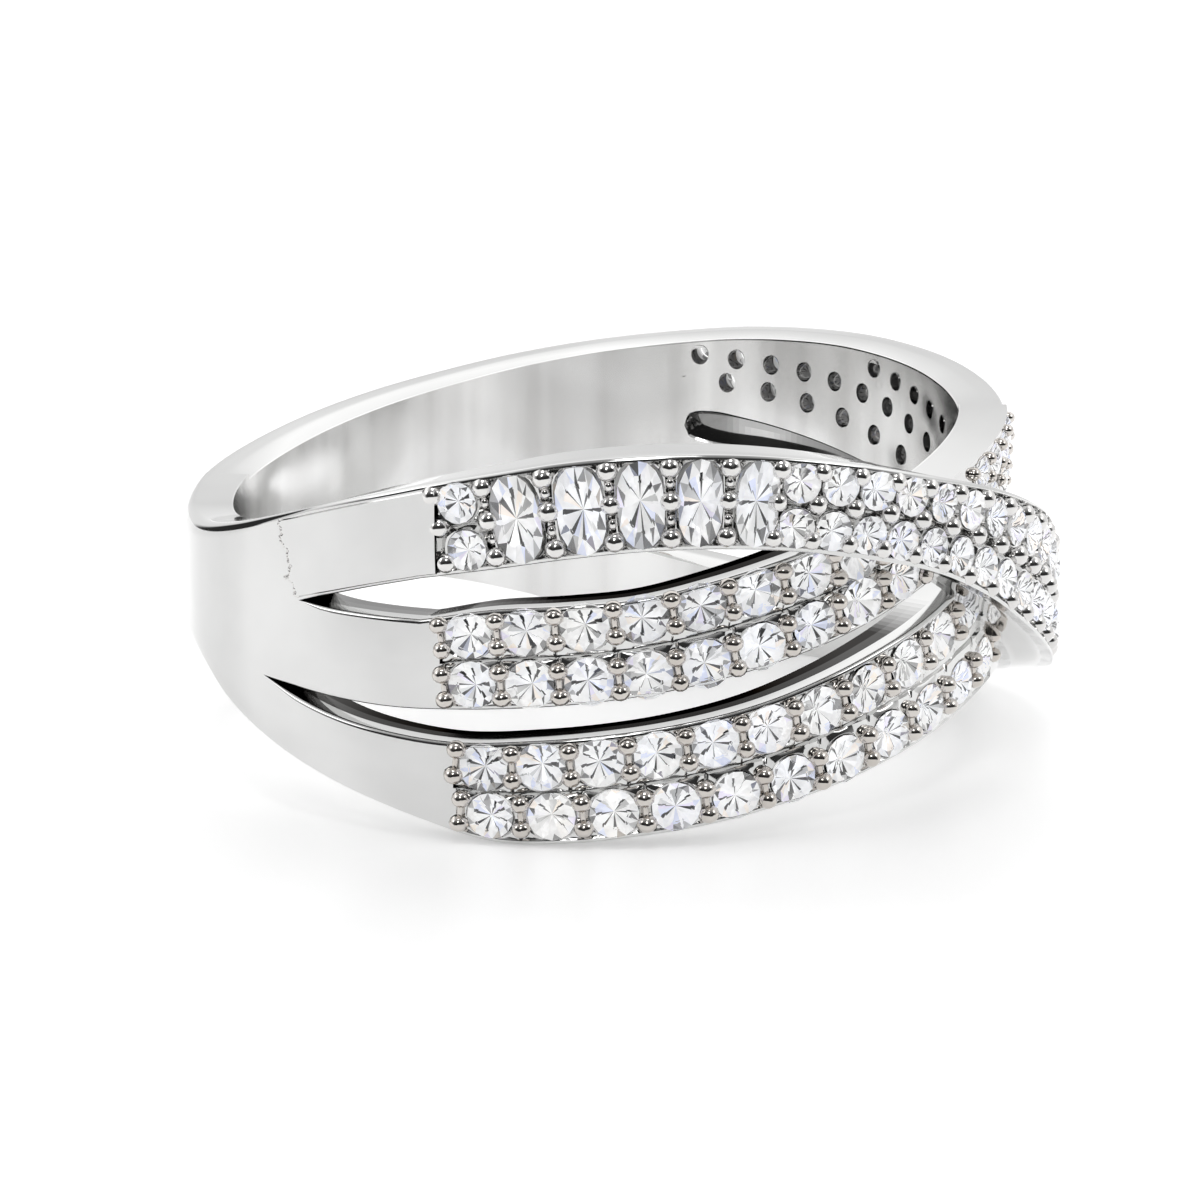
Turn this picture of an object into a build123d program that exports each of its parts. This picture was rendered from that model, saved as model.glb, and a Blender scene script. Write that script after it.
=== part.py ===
from build123d import *
from collections import namedtuple
import math
import os

# A crossover ring of polished metal, set with stones, lying on its side.
# Millimetres. The finger axis is +Z, the head of the ring faces -Y and the middle of the ring is the origin.
# Angles are in degrees about the finger axis: 0 at the head's centre, growing towards +X.

FINGER_RADIUS = 8.65
BAND_RADIUS = 9.80

# Over arm: its outer and inner walls are round, with centres moved towards the head
OVER_OUTER_RADIUS = 9.90
OVER_OUTER_SHIFT = 1.10
OVER_INNER_RADIUS = 8.70
OVER_INNER_SHIFT = 1.00

# Where the arms leave the shank
LEFT_ROOT = -100.0
RIGHT_ROOT = 92.0
FULL_TURN = 360.0

# Reach of the section outlines before they are trimmed by the round walls
SECTIONS_PER_LOFT = 6
SECTION_IN = 8.30
SECTION_OUT = 10.60
OVER_SECTION_OUT = 12.00
HALF_SPAN = 6.0

PANEL_RISE = 0.06
PANEL_MARGIN = 0.09
BEVEL_WIDTH = 0.18
BEVEL_HEIGHT = 0.22

Station = namedtuple("Station", "angle low high")

SHANK = [
    Station(92, -4.16, 3.59),
    Station(104, -3.58, 3.32),
    Station(116, -3.00, 3.01),
    Station(128, -2.50, 2.67),
    Station(140, -2.10, 2.36),
    Station(152, -1.80, 2.06),
    Station(164, -1.60, 1.79),
    Station(176, -1.48, 1.60),
    Station(188, -1.42, 1.48),
    Station(200, -1.40, 1.44),
    Station(212, -1.62, 1.62),
    Station(224, -2.33, 2.04),
    Station(236, -2.95, 2.62),
    Station(248, -3.48, 3.26),
    Station(260, -3.96, 3.84),
]

UNDER_ARMS = [
    Station(-100, -3.96, 0.74),
    Station(-90, -4.33, 1.10),
    Station(-80, -4.31, 1.25),
    Station(-70, -4.14, 1.41),
    Station(-60, -3.94, 1.74),
    Station(-50, -3.66, 2.10),
    Station(-40, -3.36, 2.47),
    Station(-30, -3.04, 2.82),
    Station(-20, -2.72, 3.15),
    Station(-10, -2.42, 3.42),
    Station(0, -2.27, 3.62),
    Station(10, -2.32, 3.73),
    Station(20, -2.50, 3.78),
    Station(30, -2.58, 3.87),
    Station(40, -2.42, 3.96),
    Station(50, -2.10, 4.01),
    Station(60, -1.72, 4.02),
    Station(70, -1.42, 3.95),
    Station(80, -1.22, 3.83),
    Station(92, -1.07, 3.59),
]

OVER_ARM = [
    Station(-100, 1.68, 3.84),
    Station(-90, 2.02, 4.24),
    Station(-80, 2.36, 4.60),
    Station(-70, 2.58, 4.79),
    Station(-60, 2.61, 4.79),
    Station(-50, 2.43, 4.59),
    Station(-40, 2.06, 4.22),
    Station(-30, 1.48, 3.72),
    Station(-20, 0.58, 3.17),
    Station(-10, -0.50, 2.50),
    Station(0, -1.52, 1.72),
    Station(10, -2.38, 0.68),
    Station(20, -3.02, -0.52),
    Station(30, -3.50, -1.44),
    Station(40, -3.88, -2.04),
    Station(50, -4.20, -2.38),
    Station(60, -4.34, -2.50),
    Station(70, -4.36, -2.48),
    Station(80, -4.33, -2.30),
    Station(92, -4.16, -1.95),
]

# Gap between the middle and the lower arm, from its left tip to its end under the over arm
LOWER_SLIT = [
    Station(-127.4, -1.30, -1.26),
    Station(-120, -1.62, -1.36),
    Station(-112, -1.87, -1.41),
    Station(-104, -2.00, -1.40),
    Station(-96, -2.05, -1.31),
    Station(-84, -1.90, -1.14),
    Station(-75, -1.75, -0.98),
    Station(-67, -1.59, -0.80),
    Station(-54, -1.23, -0.41),
    Station(-42, -0.75, 0.03),
    Station(-34, -0.40, 0.38),
    Station(-26, -0.06, 0.77),
    Station(-13, 0.58, 1.36),
    Station(0, 1.22, 1.86),
    Station(14, 2.00, 2.06),
]

# Gap right of the crossing, between the lower arm and the far middle arm, which a thin web closes
WEB_IN = 9.30
WEB_OUT = 9.55
WEB_ROOT = 0.08
FAR_SLIT = [
    Station(14, -1.34, -1.28),
    Station(22, -1.05, -0.68),
    Station(30, -0.62, -0.10),
    Station(43, 0.00, 0.70),
    Station(58, 0.50, 1.16),
    Station(68, 0.78, 1.42),
    Station(78, 0.94, 1.64),
    Station(85, 1.02, 1.74),
]

# Pointed tips of the gaps beside the over arm, cut into the shank
UPPER_TIP = [
    Station(240.2, 0.71, 0.75),
    Station(246, 0.69, 1.02),
    Station(252, 0.70, 1.32),
    Station(260, 0.75, 1.68),
    Station(263, 0.81, 1.78),
]
FAR_TIP = [
    Station(89, -2.06, -1.10),
    Station(92, -1.95, -1.07),
    Station(100, -1.66, -0.86),
    Station(108, -1.28, -0.74),
    Station(114, -1.02, -0.70),
    Station(119.8, -0.75, -0.71),
]

# Plain raised panel between the seam and the first stones of the over arm
PANEL = [
    Station(-121.8, 0.78, 2.72),
    Station(-113, 1.10, 3.20),
    Station(-105, 1.45, 3.60),
    Station(-98, 1.74, 3.92),
]

# Rows of stones: where they run, the height of their centres and their width
Row = namedtuple("Row", "count places")
Place = namedtuple("Place", "angle height width")

MIDDLE_ROWS = [
    Row(7, [Place(-92.5, 0.46, 0.94), Place(-77.3, 0.73, 1.00), Place(-61.4, 1.14, 1.00),
            Place(-46.2, 1.68, 0.96)]),
    Row(8, [Place(-92.5, -0.63, 0.98), Place(-76.4, -0.42, 1.00), Place(-60.5, -0.04, 1.00),
            Place(-37.5, 0.92, 0.96)]),
    Row(6, [Place(-8, 3.00, 0.70), Place(8, 3.22, 0.70), Place(24, 3.38, 0.60)]),
]
LOWER_ROWS = [
    Row(10, [Place(-91, -2.60, 1.02), Place(-75.5, -2.35, 1.06), Place(-59.5, -2.02, 1.06),
             Place(-43.3, -1.50, 1.06), Place(-20.6, -0.47, 1.04)]),
    Row(11, [Place(-90.1, -3.71, 1.00), Place(-74.7, -3.56, 1.04), Place(-58.6, -3.30, 1.06),
             Place(-41.6, -2.80, 1.06), Place(-25, -2.15, 1.04), Place(-7.1, -1.62, 0.90)]),
    Row(7, [Place(36, 1.22, 0.74), Place(50, 1.80, 0.80), Place(64.7, 2.30, 0.72), Place(73.9, 2.52, 0.58),
            Place(81.5, 2.66, 0.54)]),
    Row(9, [Place(34.9, 2.14, 0.58), Place(48, 2.70, 0.62), Place(60, 3.08, 0.62), Place(73, 3.24, 0.56),
            Place(86.3, 3.24, 0.54)]),
    Row(5, [Place(28, 2.66, 0.46), Place(39.9, 3.14, 0.46), Place(51.4, 3.46, 0.46)]),
]
FAR_MIDDLE_ROWS = [
    Row(5, [Place(56, -1.36, 0.86), Place(69.4, -0.92, 0.88), Place(88, -0.62, 0.84)]),
    Row(7, [Place(40, -0.92, 0.86), Place(52.6, -0.38, 0.90), Place(68.5, 0.14, 0.90),
            Place(88, 0.42, 0.86)]),
]
OVER_PAIR_COUNT = 20
OVER_PAIR_FIRST = -50.4
OVER_PAIR_STEP = 5.15
OVER_PAIR_WIDTH = 0.84
OVER_PAIR_SHARE = 0.245
OVER_START_ANGLE = -93.7
OVER_START_WIDTH = 0.94
OVER_START_SHARE = 0.26

# Elongated stones, in the middle of the over arm
OVAL_FIRST = -86.0
OVAL_STEP = 7.65
OVAL_COUNT = 5
OVAL_WIDTH = 1.04
OVAL_LENGTH = 2.02

# A cut stone, in shares of its width: table, crown, girdle and pavilion
FACETS = 8
TABLE_SHARE = 0.56
CROWN_SHARE = 0.15
GIRDLE_SHARE = 0.04
PAVILION_SHARE = 0.40
STONE_LIFT = 0.02
SEAT_GAP = 0.03
SEAT_MOUTH = 0.60
PIERCED_SHARE = 0.26
BLIND_BELOW = 0.20
WALL_DEPTH = 1.60


def direction(angle):
    turn = math.radians(angle)
    return Vector(math.sin(turn), -math.cos(turn), 0)


def section_point(angle, radius, height):
    return direction(angle) * radius + Vector(0, 0, height)


def between(rows, angle, name):
    """A column of a table at any angle, on straight lines between its rows."""
    for one, two in zip(rows, rows[1:]):
        if angle <= two.angle:
            break
    share = (angle - one.angle) / (two.angle - one.angle)
    return getattr(one, name) * (1 - share) + getattr(two, name) * share


def lofted(wires):
    """Lofts of a few sections each, end to end, so that their walls stay true."""
    lofts = []
    for start in range(0, len(wires) - 1, SECTIONS_PER_LOFT - 1):
        lofts.append(Solid.make_loft(wires[start:start + SECTIONS_PER_LOFT]))
    return lofts[0].fuse(*lofts[1:]) if len(lofts) > 1 else lofts[0]


def band_between(stations, radius_in, radius_out):
    """A band about the finger axis, lofted through upright sections."""
    wires = []
    for row in stations:
        corners = [(radius_in, row.low), (radius_out, row.low), (radius_out, row.high), (radius_in, row.high)]
        wires.append(Wire.make_polygon([section_point(row.angle, r, h) for r, h in corners]))
    return lofted(wires)


def bevel_cut(stations, column, side):
    """A sliver along the inner edge of a rim: side is 1 at its top and -1 at its foot."""
    slope = BEVEL_HEIGHT / BEVEL_WIDTH
    reach = 0.30
    wires = []
    for row in stations:
        edge = getattr(row, column)
        low = edge - side * (BEVEL_HEIGHT + reach * slope)
        high = edge + side * reach * slope
        corners = [(FINGER_RADIUS - reach, low), (FINGER_RADIUS + BEVEL_WIDTH + reach, high),
                   (FINGER_RADIUS - reach, high)]
        wires.append(Wire.make_polygon([section_point(row.angle, r, h) for r, h in corners]))
    return lofted(wires)


def upright(radius, shift=0.0):
    """A tall round block whose axis is moved towards the head."""
    return Solid.make_cylinder(radius, 2 * HALF_SPAN, Plane((0, -shift, -HALF_SPAN)))


def over_radius(angle):
    """Distance from the finger axis to the over arm's outer wall."""
    turn = math.radians(angle)
    across = OVER_OUTER_SHIFT * math.sin(turn)
    return OVER_OUTER_SHIFT * math.cos(turn) + math.sqrt(OVER_OUTER_RADIUS ** 2 - across ** 2)


def over_middle(angle):
    return (between(OVER_ARM, angle, "low") + between(OVER_ARM, angle, "high")) / 2


def over_width(angle):
    return between(OVER_ARM, angle, "high") - between(OVER_ARM, angle, "low")


def over_slope(angle):
    """Rise of the over arm's middle line for each millimetre round the ring."""
    step = 2.0
    rise = over_middle(angle + step) - over_middle(angle - step)
    return rise / (over_radius(angle) * math.radians(2 * step))


Stone = namedtuple("Stone", "angle height width length slope over")


def row_of_stones(row):
    first = row.places[0].angle
    last = row.places[-1].angle
    stones = []
    for index in range(row.count):
        angle = first + (last - first) * index / (row.count - 1)
        width = between(row.places, angle, "width")
        stones.append(Stone(angle, between(row.places, angle, "height"), width, width, 0.0, False))
    return stones


def over_pair(angle, width, share):
    """Two stones side by side across the over arm."""
    slope = over_slope(angle)
    reach = share * over_width(angle)
    lean = math.degrees(reach * slope / (1 + slope ** 2) / over_radius(angle))
    lift = reach / (1 + slope ** 2)
    upper = Stone(angle - lean, over_middle(angle) + lift, width, width, slope, True)
    lower = Stone(angle + lean, over_middle(angle) - lift, width, width, slope, True)
    return [upper, lower]


def over_round_stones():
    stones = over_pair(OVER_START_ANGLE, OVER_START_WIDTH, OVER_START_SHARE)
    for index in range(OVER_PAIR_COUNT):
        angle = OVER_PAIR_FIRST + OVER_PAIR_STEP * index
        stones += over_pair(angle, OVER_PAIR_WIDTH, OVER_PAIR_SHARE)
    return stones


def over_oval_stones():
    stones = []
    for index in range(OVAL_COUNT):
        angle = OVAL_FIRST + OVAL_STEP * index
        stones.append(Stone(angle, over_middle(angle), OVAL_WIDTH, OVAL_LENGTH, over_slope(angle), True))
    for index in range(OVAL_COUNT):
        angle = -(OVAL_FIRST + OVAL_STEP * index)
        length = OVAL_LENGTH * over_width(angle) / over_width(-angle)
        stones.append(Stone(angle, over_middle(angle), OVAL_WIDTH, length, over_slope(angle), True))
    return stones


def stone_plane(stone):
    """The girdle's plane: Z out of the metal, Y across the arm."""
    turn = math.radians(stone.angle)
    if stone.over:
        radius = over_radius(stone.angle)
        spot = direction(stone.angle) * radius
        outward = (spot + Vector(0, OVER_OUTER_SHIFT, 0)).normalized()
    else:
        radius = BAND_RADIUS
        spot = direction(stone.angle) * radius
        outward = direction(stone.angle)
    level = Vector(math.cos(turn), math.sin(turn), 0)
    along = level + Vector(0, 0, stone.slope)
    along = (along - outward * along.dot(outward)).normalized()
    origin = spot + Vector(0, 0, stone.height) + outward * STONE_LIFT
    return Plane(origin=origin, x_dir=along, z_dir=outward)


def cut_stone(stone):
    """A stone with a table, crown facets, a thin girdle and pavilion facets."""
    plane = stone_plane(stone)
    crown = CROWN_SHARE * stone.width
    girdle = GIRDLE_SHARE * stone.width
    pavilion = PAVILION_SHARE * stone.width

    def ring(share, height):
        points = []
        for index in range(FACETS):
            turn = math.radians(FULL_TURN * (index + 0.5) / FACETS)
            x = share * stone.width / 2 * math.cos(turn)
            y = (share * stone.width / 2 + (stone.length - stone.width) / 2 * share) * math.sin(turn)
            points.append(plane.from_local_coords(Vector(x, y, height)))
        return points

    table = ring(TABLE_SHARE, crown)
    upper = ring(1.0, 0.0)
    lower = ring(1.0, -girdle)
    culet = plane.from_local_coords(Vector(0, 0, -girdle - pavilion))
    faces = [Face(Wire.make_polygon(table))]
    for index in range(FACETS):
        after = (index + 1) % FACETS
        faces.append(Face(Wire.make_polygon([upper[index], upper[after], table[after], table[index]])))
        faces.append(Face(Wire.make_polygon([lower[index], lower[after], upper[after], upper[index]])))
        faces.append(Face(Wire.make_polygon([lower[index], culet, lower[after]])))
    return Solid(Shell(faces))


def seat(stone):
    """The room that a stone needs, with the pierced hole behind it."""
    plane = stone_plane(stone)
    half = stone.width / 2 + SEAT_GAP
    girdle = GIRDLE_SHARE * stone.width + SEAT_GAP
    pierced = PIERCED_SHARE * stone.width
    cone_depth = PAVILION_SHARE * stone.width * (1 - pierced / half)
    depth = WALL_DEPTH
    if stone.over and abs(stone.angle) < abs(OVER_PAIR_FIRST) + OVER_PAIR_STEP:
        depth = girdle + cone_depth + BLIND_BELOW
    outline = [(0, SEAT_MOUTH), (half, SEAT_MOUTH), (half, -girdle), (pierced, -girdle - cone_depth),
               (pierced, -depth), (0, -depth)]
    profile = Face(Wire.make_polygon([plane.from_local_coords(Vector(r, 0, h)) for r, h in outline]))
    block = Solid.revolve(profile, FULL_TURN, Axis(plane.origin, plane.z_dir))
    if stone.length > stone.width:
        return stretched_seat(stone, plane, half, girdle)
    return block


def stretched_seat(stone, plane, half, girdle):
    """An elongated seat, tapered like the stone's pavilion."""
    long_half = stone.length / 2 + SEAT_GAP
    floor_share = 0.40
    bottom = girdle + PAVILION_SHARE * stone.width * (1 - floor_share) + SEAT_GAP
    wires = []
    for share, height in ((1.0, -girdle), (floor_share, -bottom)):
        level = Plane(origin=plane.from_local_coords(Vector(0, 0, height)), x_dir=plane.x_dir, z_dir=plane.z_dir)
        wires.append(Wire([Edge.make_ellipse(half * share, long_half * share, level)]))
    taper = Solid.make_loft(wires)
    mouth_plane = Plane(origin=plane.from_local_coords(Vector(0, 0, -girdle)), x_dir=plane.x_dir,
                        z_dir=plane.z_dir)
    rim = Face(Wire([Edge.make_ellipse(half, long_half, mouth_plane)]))
    mouth = Solid.extrude(rim, plane.z_dir * (girdle + SEAT_MOUTH))
    hole_plane = Plane(origin=plane.from_local_coords(Vector(0, 0, -WALL_DEPTH)), z_dir=plane.z_dir)
    hole = Solid.make_cylinder(PIERCED_SHARE * stone.width, WALL_DEPTH - girdle, hole_plane)
    return mouth.fuse(taper).fuse(hole)


def far_gap(radius_in, radius_out, margin):
    """The far gap between two radii, with a round end, wider by a margin on every side."""
    rows = [Station(row.angle, row.low - margin, row.high + margin) for row in FAR_SLIT]
    last = rows[-1]
    end_radius = (last.high - last.low) / 2
    end_spot = section_point(last.angle, radius_in, (last.high + last.low) / 2)
    end = Solid.make_cylinder(end_radius, radius_out - radius_in, Plane(origin=end_spot, z_dir=direction(last.angle)))
    return band_between(rows, radius_in, radius_out).fuse(end)


def metal():
    finger = upright(FINGER_RADIUS)
    band = upright(BAND_RADIUS)

    shank = band_between(SHANK, SECTION_IN, SECTION_OUT) & band
    shank = shank - bevel_cut(SHANK, "high", 1) - bevel_cut(SHANK, "low", -1)
    shank = shank - band_between(UPPER_TIP, SECTION_IN - 1, SECTION_OUT)
    shank = shank - band_between(FAR_TIP, SECTION_IN - 1, SECTION_OUT)

    under = band_between(UNDER_ARMS, SECTION_IN, SECTION_OUT) & band
    far_rim = [row for row in UNDER_ARMS if row.angle >= 20]
    under = under - bevel_cut(far_rim, "high", 1)
    under = under - far_gap(SECTION_IN - 1, SECTION_OUT, 0.0)
    under = under.fuse(far_gap(WEB_IN, WEB_OUT, WEB_ROOT))

    over = band_between(OVER_ARM, SECTION_IN, OVER_SECTION_OUT)
    sleeve = band.fuse(upright(OVER_OUTER_RADIUS, OVER_OUTER_SHIFT))
    over = (over & sleeve) - upright(OVER_INNER_RADIUS, OVER_INNER_SHIFT)

    panel = band_between(PANEL, SECTION_IN + 1, SECTION_OUT) & upright(BAND_RADIUS + PANEL_RISE)

    body = shank.fuse(under, over, panel)
    slit = band_between(LOWER_SLIT, SECTION_IN - 1, SECTION_OUT)
    return body.cut(slit, finger)


middle_stones = [stone for row in MIDDLE_ROWS for stone in row_of_stones(row)]
lower_stones = [stone for row in LOWER_ROWS for stone in row_of_stones(row)]
far_middle_stones = [stone for row in FAR_MIDDLE_ROWS for stone in row_of_stones(row)]
over_stones = over_round_stones()
oval_stones = over_oval_stones()
every_stone = middle_stones + lower_stones + far_middle_stones + over_stones + oval_stones

body = metal().cut(*[seat(stone) for stone in every_stone])

os.makedirs("parts", exist_ok=True)
export_step(body, "parts/ring_band.step")
fields = {
    "middle_arm_stones": middle_stones,
    "lower_arm_stones": lower_stones,
    "far_middle_arm_stones": far_middle_stones,
    "over_arm_stones": over_stones,
}
for name, stones in fields.items():
    export_step(Compound([cut_stone(stone) for stone in stones]), f"parts/{name}.step")
for number, stone in enumerate(oval_stones, start=1):
    export_step(cut_stone(stone), f"parts/oval_stone_{number:02d}.step")
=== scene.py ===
import math

import bpy
import numpy as np
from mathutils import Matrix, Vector


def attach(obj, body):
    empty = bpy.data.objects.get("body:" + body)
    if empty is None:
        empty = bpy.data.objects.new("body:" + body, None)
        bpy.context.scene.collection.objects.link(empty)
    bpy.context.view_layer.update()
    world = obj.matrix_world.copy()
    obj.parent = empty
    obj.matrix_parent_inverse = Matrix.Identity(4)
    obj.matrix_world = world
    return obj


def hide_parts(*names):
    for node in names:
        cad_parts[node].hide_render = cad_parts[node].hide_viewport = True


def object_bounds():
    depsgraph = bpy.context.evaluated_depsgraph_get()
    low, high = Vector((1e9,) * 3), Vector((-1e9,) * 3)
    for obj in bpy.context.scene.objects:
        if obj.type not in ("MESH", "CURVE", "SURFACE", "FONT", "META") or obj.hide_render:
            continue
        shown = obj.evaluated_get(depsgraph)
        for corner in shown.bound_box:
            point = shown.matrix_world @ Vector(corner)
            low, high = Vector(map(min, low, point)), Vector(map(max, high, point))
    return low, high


# A crossover ring: the metal, its beads and its cut stones, worked out in the ring's own measures.
# Millimetres and degrees. An angle is 0 at the head's centre and grows towards +X, a height is along +Z.

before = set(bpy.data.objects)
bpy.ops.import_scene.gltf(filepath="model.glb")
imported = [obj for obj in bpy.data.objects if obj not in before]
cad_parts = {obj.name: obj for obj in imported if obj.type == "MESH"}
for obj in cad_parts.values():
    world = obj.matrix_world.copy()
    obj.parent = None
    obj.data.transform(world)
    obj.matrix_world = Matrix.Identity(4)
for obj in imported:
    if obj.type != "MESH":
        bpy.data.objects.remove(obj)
cad_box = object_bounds()

MM = 0.001
FINGER_RADIUS = 8.65
BAND_RADIUS = 9.80
OVER_OUTER = (9.90, 1.10)  # radius and how far its centre is moved towards the head
OVER_INNER = (8.70, 1.00)
BLEND = 0.04
RAIL = 0.10
CORNER = 0.10
SHOULDER = 0.24  # how much rounder the shank's upper outer edge is at its roundest
INNER_MARGIN = 0.24
LIP = 0.04
# Strength of the painted shade line along the rear rim's bevel
PAINTED_RIM_SHADE = 0.9
BEVEL_WIDTH, BEVEL_HEIGHT = 0.46, 0.13
SMALL_BEVEL = 0.05
DOME = 0.05
DOME_FADE = 0.5
TIPS = (-127.4, -127.3, -119.8, -119.7, 87.2, 88.4, 88.65, 88.9, 119.7, 119.8)  # angles close to where a gap ends

# Edges of the metal. Columns: angle, low, high
LOW, HIGH = 1, 2
SHANK = np.array([
    (92, -4.16, 3.59), (104, -3.58, 3.32), (116, -3.00, 3.01), (128, -2.50, 2.67), (140, -2.10, 2.36),
    (152, -1.80, 2.06), (164, -1.60, 1.79), (176, -1.48, 1.60), (188, -1.42, 1.48), (200, -1.40, 1.44),
    (212, -1.62, 1.62), (224, -2.33, 2.04), (236, -2.95, 2.62), (248, -3.48, 3.26), (260, -3.96, 3.84),
])
UNDER = np.array([
    (-100, -3.96, 0.74), (-90, -4.33, 1.10), (-80, -4.31, 1.25), (-70, -4.14, 1.41), (-60, -3.94, 1.74),
    (-50, -3.66, 2.10), (-40, -3.36, 2.47), (-30, -3.04, 2.82), (-20, -2.72, 3.15), (-10, -2.42, 3.42),
    (0, -2.27, 3.62), (10, -2.32, 3.73), (20, -2.50, 3.78), (30, -2.58, 3.87), (40, -2.42, 3.96),
    (50, -2.10, 4.01), (60, -1.72, 4.02), (70, -1.42, 3.95), (80, -1.22, 3.83), (92, -1.07, 3.59),
])
OVER = np.array([
    (-100, 1.68, 3.84), (-90, 2.02, 4.24), (-80, 2.36, 4.60), (-70, 2.58, 4.787), (-60, 2.61, 4.787),
    (-50, 2.43, 4.59), (-40, 2.06, 4.22), (-30, 1.48, 3.72), (-20, 0.58, 3.17), (-10, -0.50, 2.50),
    (0, -1.52, 1.72), (10, -2.38, 0.68), (20, -3.02, -0.52), (30, -3.50, -1.44), (40, -3.88, -2.04),
    (50, -4.20, -2.38), (60, -4.34, -2.50), (70, -4.355, -2.48), (80, -4.33, -2.30), (92, -4.16, -1.95),
])
LOWER_SLIT = np.array([
    (-127.4, -1.28, -1.28), (-120, -1.62, -1.36), (-112, -1.87, -1.41), (-104, -2.00, -1.40),
    (-96, -2.05, -1.31), (-84, -1.90, -1.14), (-75, -1.75, -0.98), (-67, -1.59, -0.80), (-54, -1.23, -0.41),
    (-42, -0.75, 0.03), (-34, -0.40, 0.38), (-26, -0.06, 0.77), (-13, 0.58, 1.36), (0, 1.22, 1.86),
    (14, 2.05, 2.05),
])
FAR_SLIT = np.array([
    (14, -1.31, -1.31), (22, -1.05, -0.68), (30, -0.62, -0.10), (43, 0.00, 0.70), (58, 0.50, 1.16),
    (68, 0.78, 1.42), (78, 0.94, 1.64), (85, 1.02, 1.74), (87.2, 1.10, 1.70), (88.4, 1.22, 1.58),
    (88.9, 1.40, 1.40),
])
UPPER_GAP = np.array([(-119.8, 0.73, 0.73), (-114, 0.69, 1.02), (-108, 0.70, 1.32), (-100, 0.74, 1.68)])
FAR_GAP = np.array([
    (92, -1.95, -1.07), (100, -1.66, -0.86), (108, -1.28, -0.74), (114, -1.02, -0.70), (119.8, -0.73, -0.73),
])
# Where neighbouring strips of the shank meet inside the plain metal
LOWER_SEAM = np.array([(-180, -0.5, -0.5), (-150, -0.95, -0.95), (-127.4, -1.28, -1.28)])
UPPER_SEAM = np.array([(-180, 0.5, 0.5), (-150, 0.60, 0.60), (-119.8, 0.73, 0.73)])
FAR_SEAM = np.array([(119.8, -0.73, -0.73), (150, -0.60, -0.60), (180, -0.5, -0.5)])
HIGH_SEAM = np.array([(88.9, 1.40, 1.40), (120, 0.95, 0.95), (180, 0.5, 0.5)])
LEFT_SHANK = SHANK[SHANK[:, 0] > 175] - np.array([360, 0, 0])
RIGHT_SHANK = SHANK[SHANK[:, 0] < 190]


def curve(rows, column, angle):
    """Smooth column of a table: y = (1+2t)(1-t)^2 y0 + t(1-t)^2 w m0 + t^2(3-2t) y1 - t^2(1-t) w m1."""
    x, y = rows[:, 0], rows[:, column]
    slope = np.gradient(y, x)
    angle = np.clip(angle, x[0], x[-1])
    i = np.clip(np.searchsorted(x, angle) - 1, 0, len(x) - 2)
    w = x[i + 1] - x[i]
    t = (angle - x[i]) / w
    near = (1 + 2 * t) * (1 - t) ** 2 * y[i] + t * (1 - t) ** 2 * w * slope[i]
    return near + t ** 2 * (3 - 2 * t) * y[i + 1] - t ** 2 * (1 - t) * w * slope[i + 1]


def edge(*parts):
    """An edge of a strip: each part is (first angle, table, column), and holds until the next one starts."""
    def height(angle):
        angle = np.asarray(angle, float)
        value = curve(parts[0][1], parts[0][2], angle)
        for start, rows, column in parts[1:]:
            value = np.where(angle >= start, curve(rows, column, angle), value)
        return value
    return height


def eccentric(angle, wall):
    """Distance from the finger axis to a round wall: s cos a + sqrt(r^2 - s^2 sin^2 a)."""
    radius, shift = wall
    turn = np.radians(angle)
    return shift * np.cos(turn) + np.sqrt(radius ** 2 - (shift * np.sin(turn)) ** 2)


def under_outer(angle):
    return np.full(np.shape(angle), BAND_RADIUS)


def under_inner(angle):
    return np.full(np.shape(angle), FINGER_RADIUS)


def over_outer(angle):
    """The larger of the band's wall and the over arm's, with a soft change: b + (x + sqrt(x^2 + k^2)) / 2."""
    x = eccentric(angle, OVER_OUTER) - BAND_RADIUS
    return BAND_RADIUS + (x + np.sqrt(x ** 2 + BLEND ** 2)) / 2


def over_inner(angle):
    x = eccentric(angle, OVER_INNER) - FINGER_RADIUS
    return FINGER_RADIUS + (x + np.sqrt(x ** 2 + BLEND ** 2)) / 2


def spots(angle, height, radius):
    """Points in millimetres: (R sin a, -R cos a, z)."""
    turn = np.radians(angle)
    return np.stack([radius * np.sin(turn), -radius * np.cos(turn), height + 0 * radius], axis=-1)


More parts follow.
